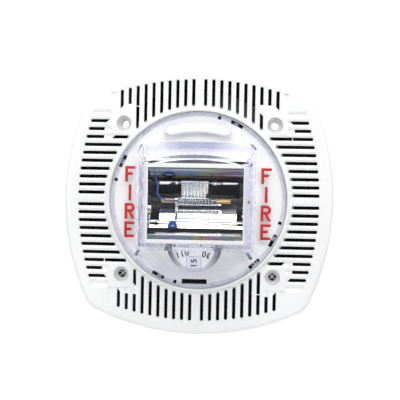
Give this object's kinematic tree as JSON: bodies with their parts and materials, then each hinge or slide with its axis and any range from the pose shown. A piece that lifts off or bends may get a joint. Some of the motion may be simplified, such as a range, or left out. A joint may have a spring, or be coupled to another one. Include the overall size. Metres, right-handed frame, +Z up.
{
  "type": "horn strobe",
  "caption": "Square louvred wall plate with bowed sides, a clear flash lens in its middle, a candela dial behind it and a small loudspeaker with its tap board at the back.",
  "frame": {"origin": "centre of the wall screw pattern, on the plane of the wall", "axes": "-Y out of the wall towards the viewer, +Z up, +X to the viewer's right"},
  "size_m": [0.173, 0.087, 0.173],
  "materials": {
    "white_plastic": "satin moulded polymer",
    "grey_steel": "plated sheet steel",
    "clear_lens": "clear moulded polycarbonate",
    "black_cloth": "woven acoustic cloth",
    "red_ink": "screen-printed ink",
    "label_film": "printed film, left blank",
    "grey_plastic": "moulded polymer",
    "mirror_finish": "vacuum-metallised moulding",
    "tube_glass": "clear drawn glass",
    "brass_pin": "drawn pin",
    "black_rubber": "moulded rubber",
    "bright_wire": "bare wire",
    "blue_insulation": "wire insulation",
    "black_ink": "pad-printed ink",
    "black_plastic": "moulded polymer",
    "green_board": "solder-masked laminate",
    "capacitor_can": "sleeved can",
    "amber_tape": "polyester winding tape",
    "ferrite": "sintered ferrite",
    "zinc_screw": "zinc-plated steel",
    "black_paper": "pressed fibre",
    "tan_cloth": "resin-set cloth",
    "kraft_paper": "kraft board",
    "copper_wire": "enamelled copper",
    "lamination_steel": "stacked laminations",
    "ivory_nylon": "nylon",
    "blue_plastic": "moulded polymer",
    "green_plastic": "moulded polymer",
    "tan_ceramic": "coated resistor body",
    "red_insulation": "wire insulation",
    "black_insulation": "wire insulation"
  },
  "bodies": {
    "housing": {"grille_plate": "white_plastic", "dust_screen": "black_cloth", "screw_retainers": "grey_steel", "strobe_lens": "clear_lens", "fire_legend": "red_ink", "blank_label": "label_film", "strobe_carrier": "white_plastic", "strobe_cover": "grey_plastic", "reflector": "mirror_finish", "flash_tube": "tube_glass", "tube_electrodes": "brass_pin", "tube_sleeves": "black_rubber", "tube_grommets": "black_rubber", "trigger_coil": "bright_wire", "trigger_band": "bright_wire", "trigger_lead": "blue_insulation", "dial_switch": "black_plastic", "strobe_board": "green_board", "flash_capacitor": "capacitor_can", "trigger_transformer": "amber_tape", "charge_inductor": "ferrite", "board_chips": "black_plastic", "power_transistor": "black_plastic", "cover_screws": "zinc_screw", "frame_screws": "zinc_screw", "speaker_basket": "grey_steel", "cone_surround": "black_rubber", "spider": "tan_cloth", "tinsel_leads": "copper_wire", "lead_tags": "kraft_paper", "top_plate": "zinc_screw", "ring_magnet": "ferrite", "yoke": "zinc_screw", "rear_bracket": "grey_steel", "yoke_screw": "zinc_screw", "transformer_core": "lamination_steel", "transformer_winding": "amber_tape", "transformer_screws": "zinc_screw", "board_standoffs": "ivory_nylon", "tap_board": "green_board", "tap_board_screws": "zinc_screw", "tap_switch": "blue_plastic", "voltage_switch": "black_plastic", "terminal_block": "green_plastic", "terminal_screws": "zinc_screw", "blocking_capacitor": "capacitor_can", "board_resistors": "tan_ceramic", "cable_grommet": "black_rubber", "strobe_lead_red": "red_insulation", "strobe_lead_black": "black_insulation"},
    "candela_wheel": {"candela_dial": "white_plastic", "dial_numbers": "black_ink"},
    "cone_assembly": {"speaker_cone": "black_paper", "dust_cap": "black_paper", "coil_former": "kraft_paper", "voice_coil": "copper_wire"},
    "tap_selector": {"tap_knob": "white_plastic"},
    "voltage_selector": {"voltage_slider": "white_plastic"}
  },
  "joints": [
    {"name": "candela_turn", "type": "hinge", "parent": "housing", "child": "candela_wheel", "pos_m": [-0.0016, -0.0095, -0.0326], "axis": [0, 1, 0], "range_deg": [0, 288]},
    {"name": "cone_stroke", "type": "slide", "parent": "housing", "child": "cone_assembly", "axis": [0, -1, 0], "range_m": [-0.0015, 0.0015], "stiffness_N_per_m": 1500, "deforming": ["cone_surround", "spider", "tinsel_leads"]},
    {"name": "tap_turn", "type": "hinge", "parent": "housing", "child": "tap_selector", "pos_m": [-0.034, 0.043, 0.008], "axis": [0, 1, 0], "range_deg": [0, 90]},
    {"name": "voltage_slide", "type": "slide", "parent": "housing", "child": "voltage_selector", "axis": [1, 0, 0], "range_m": [0, 0.0025]}
  ]
}
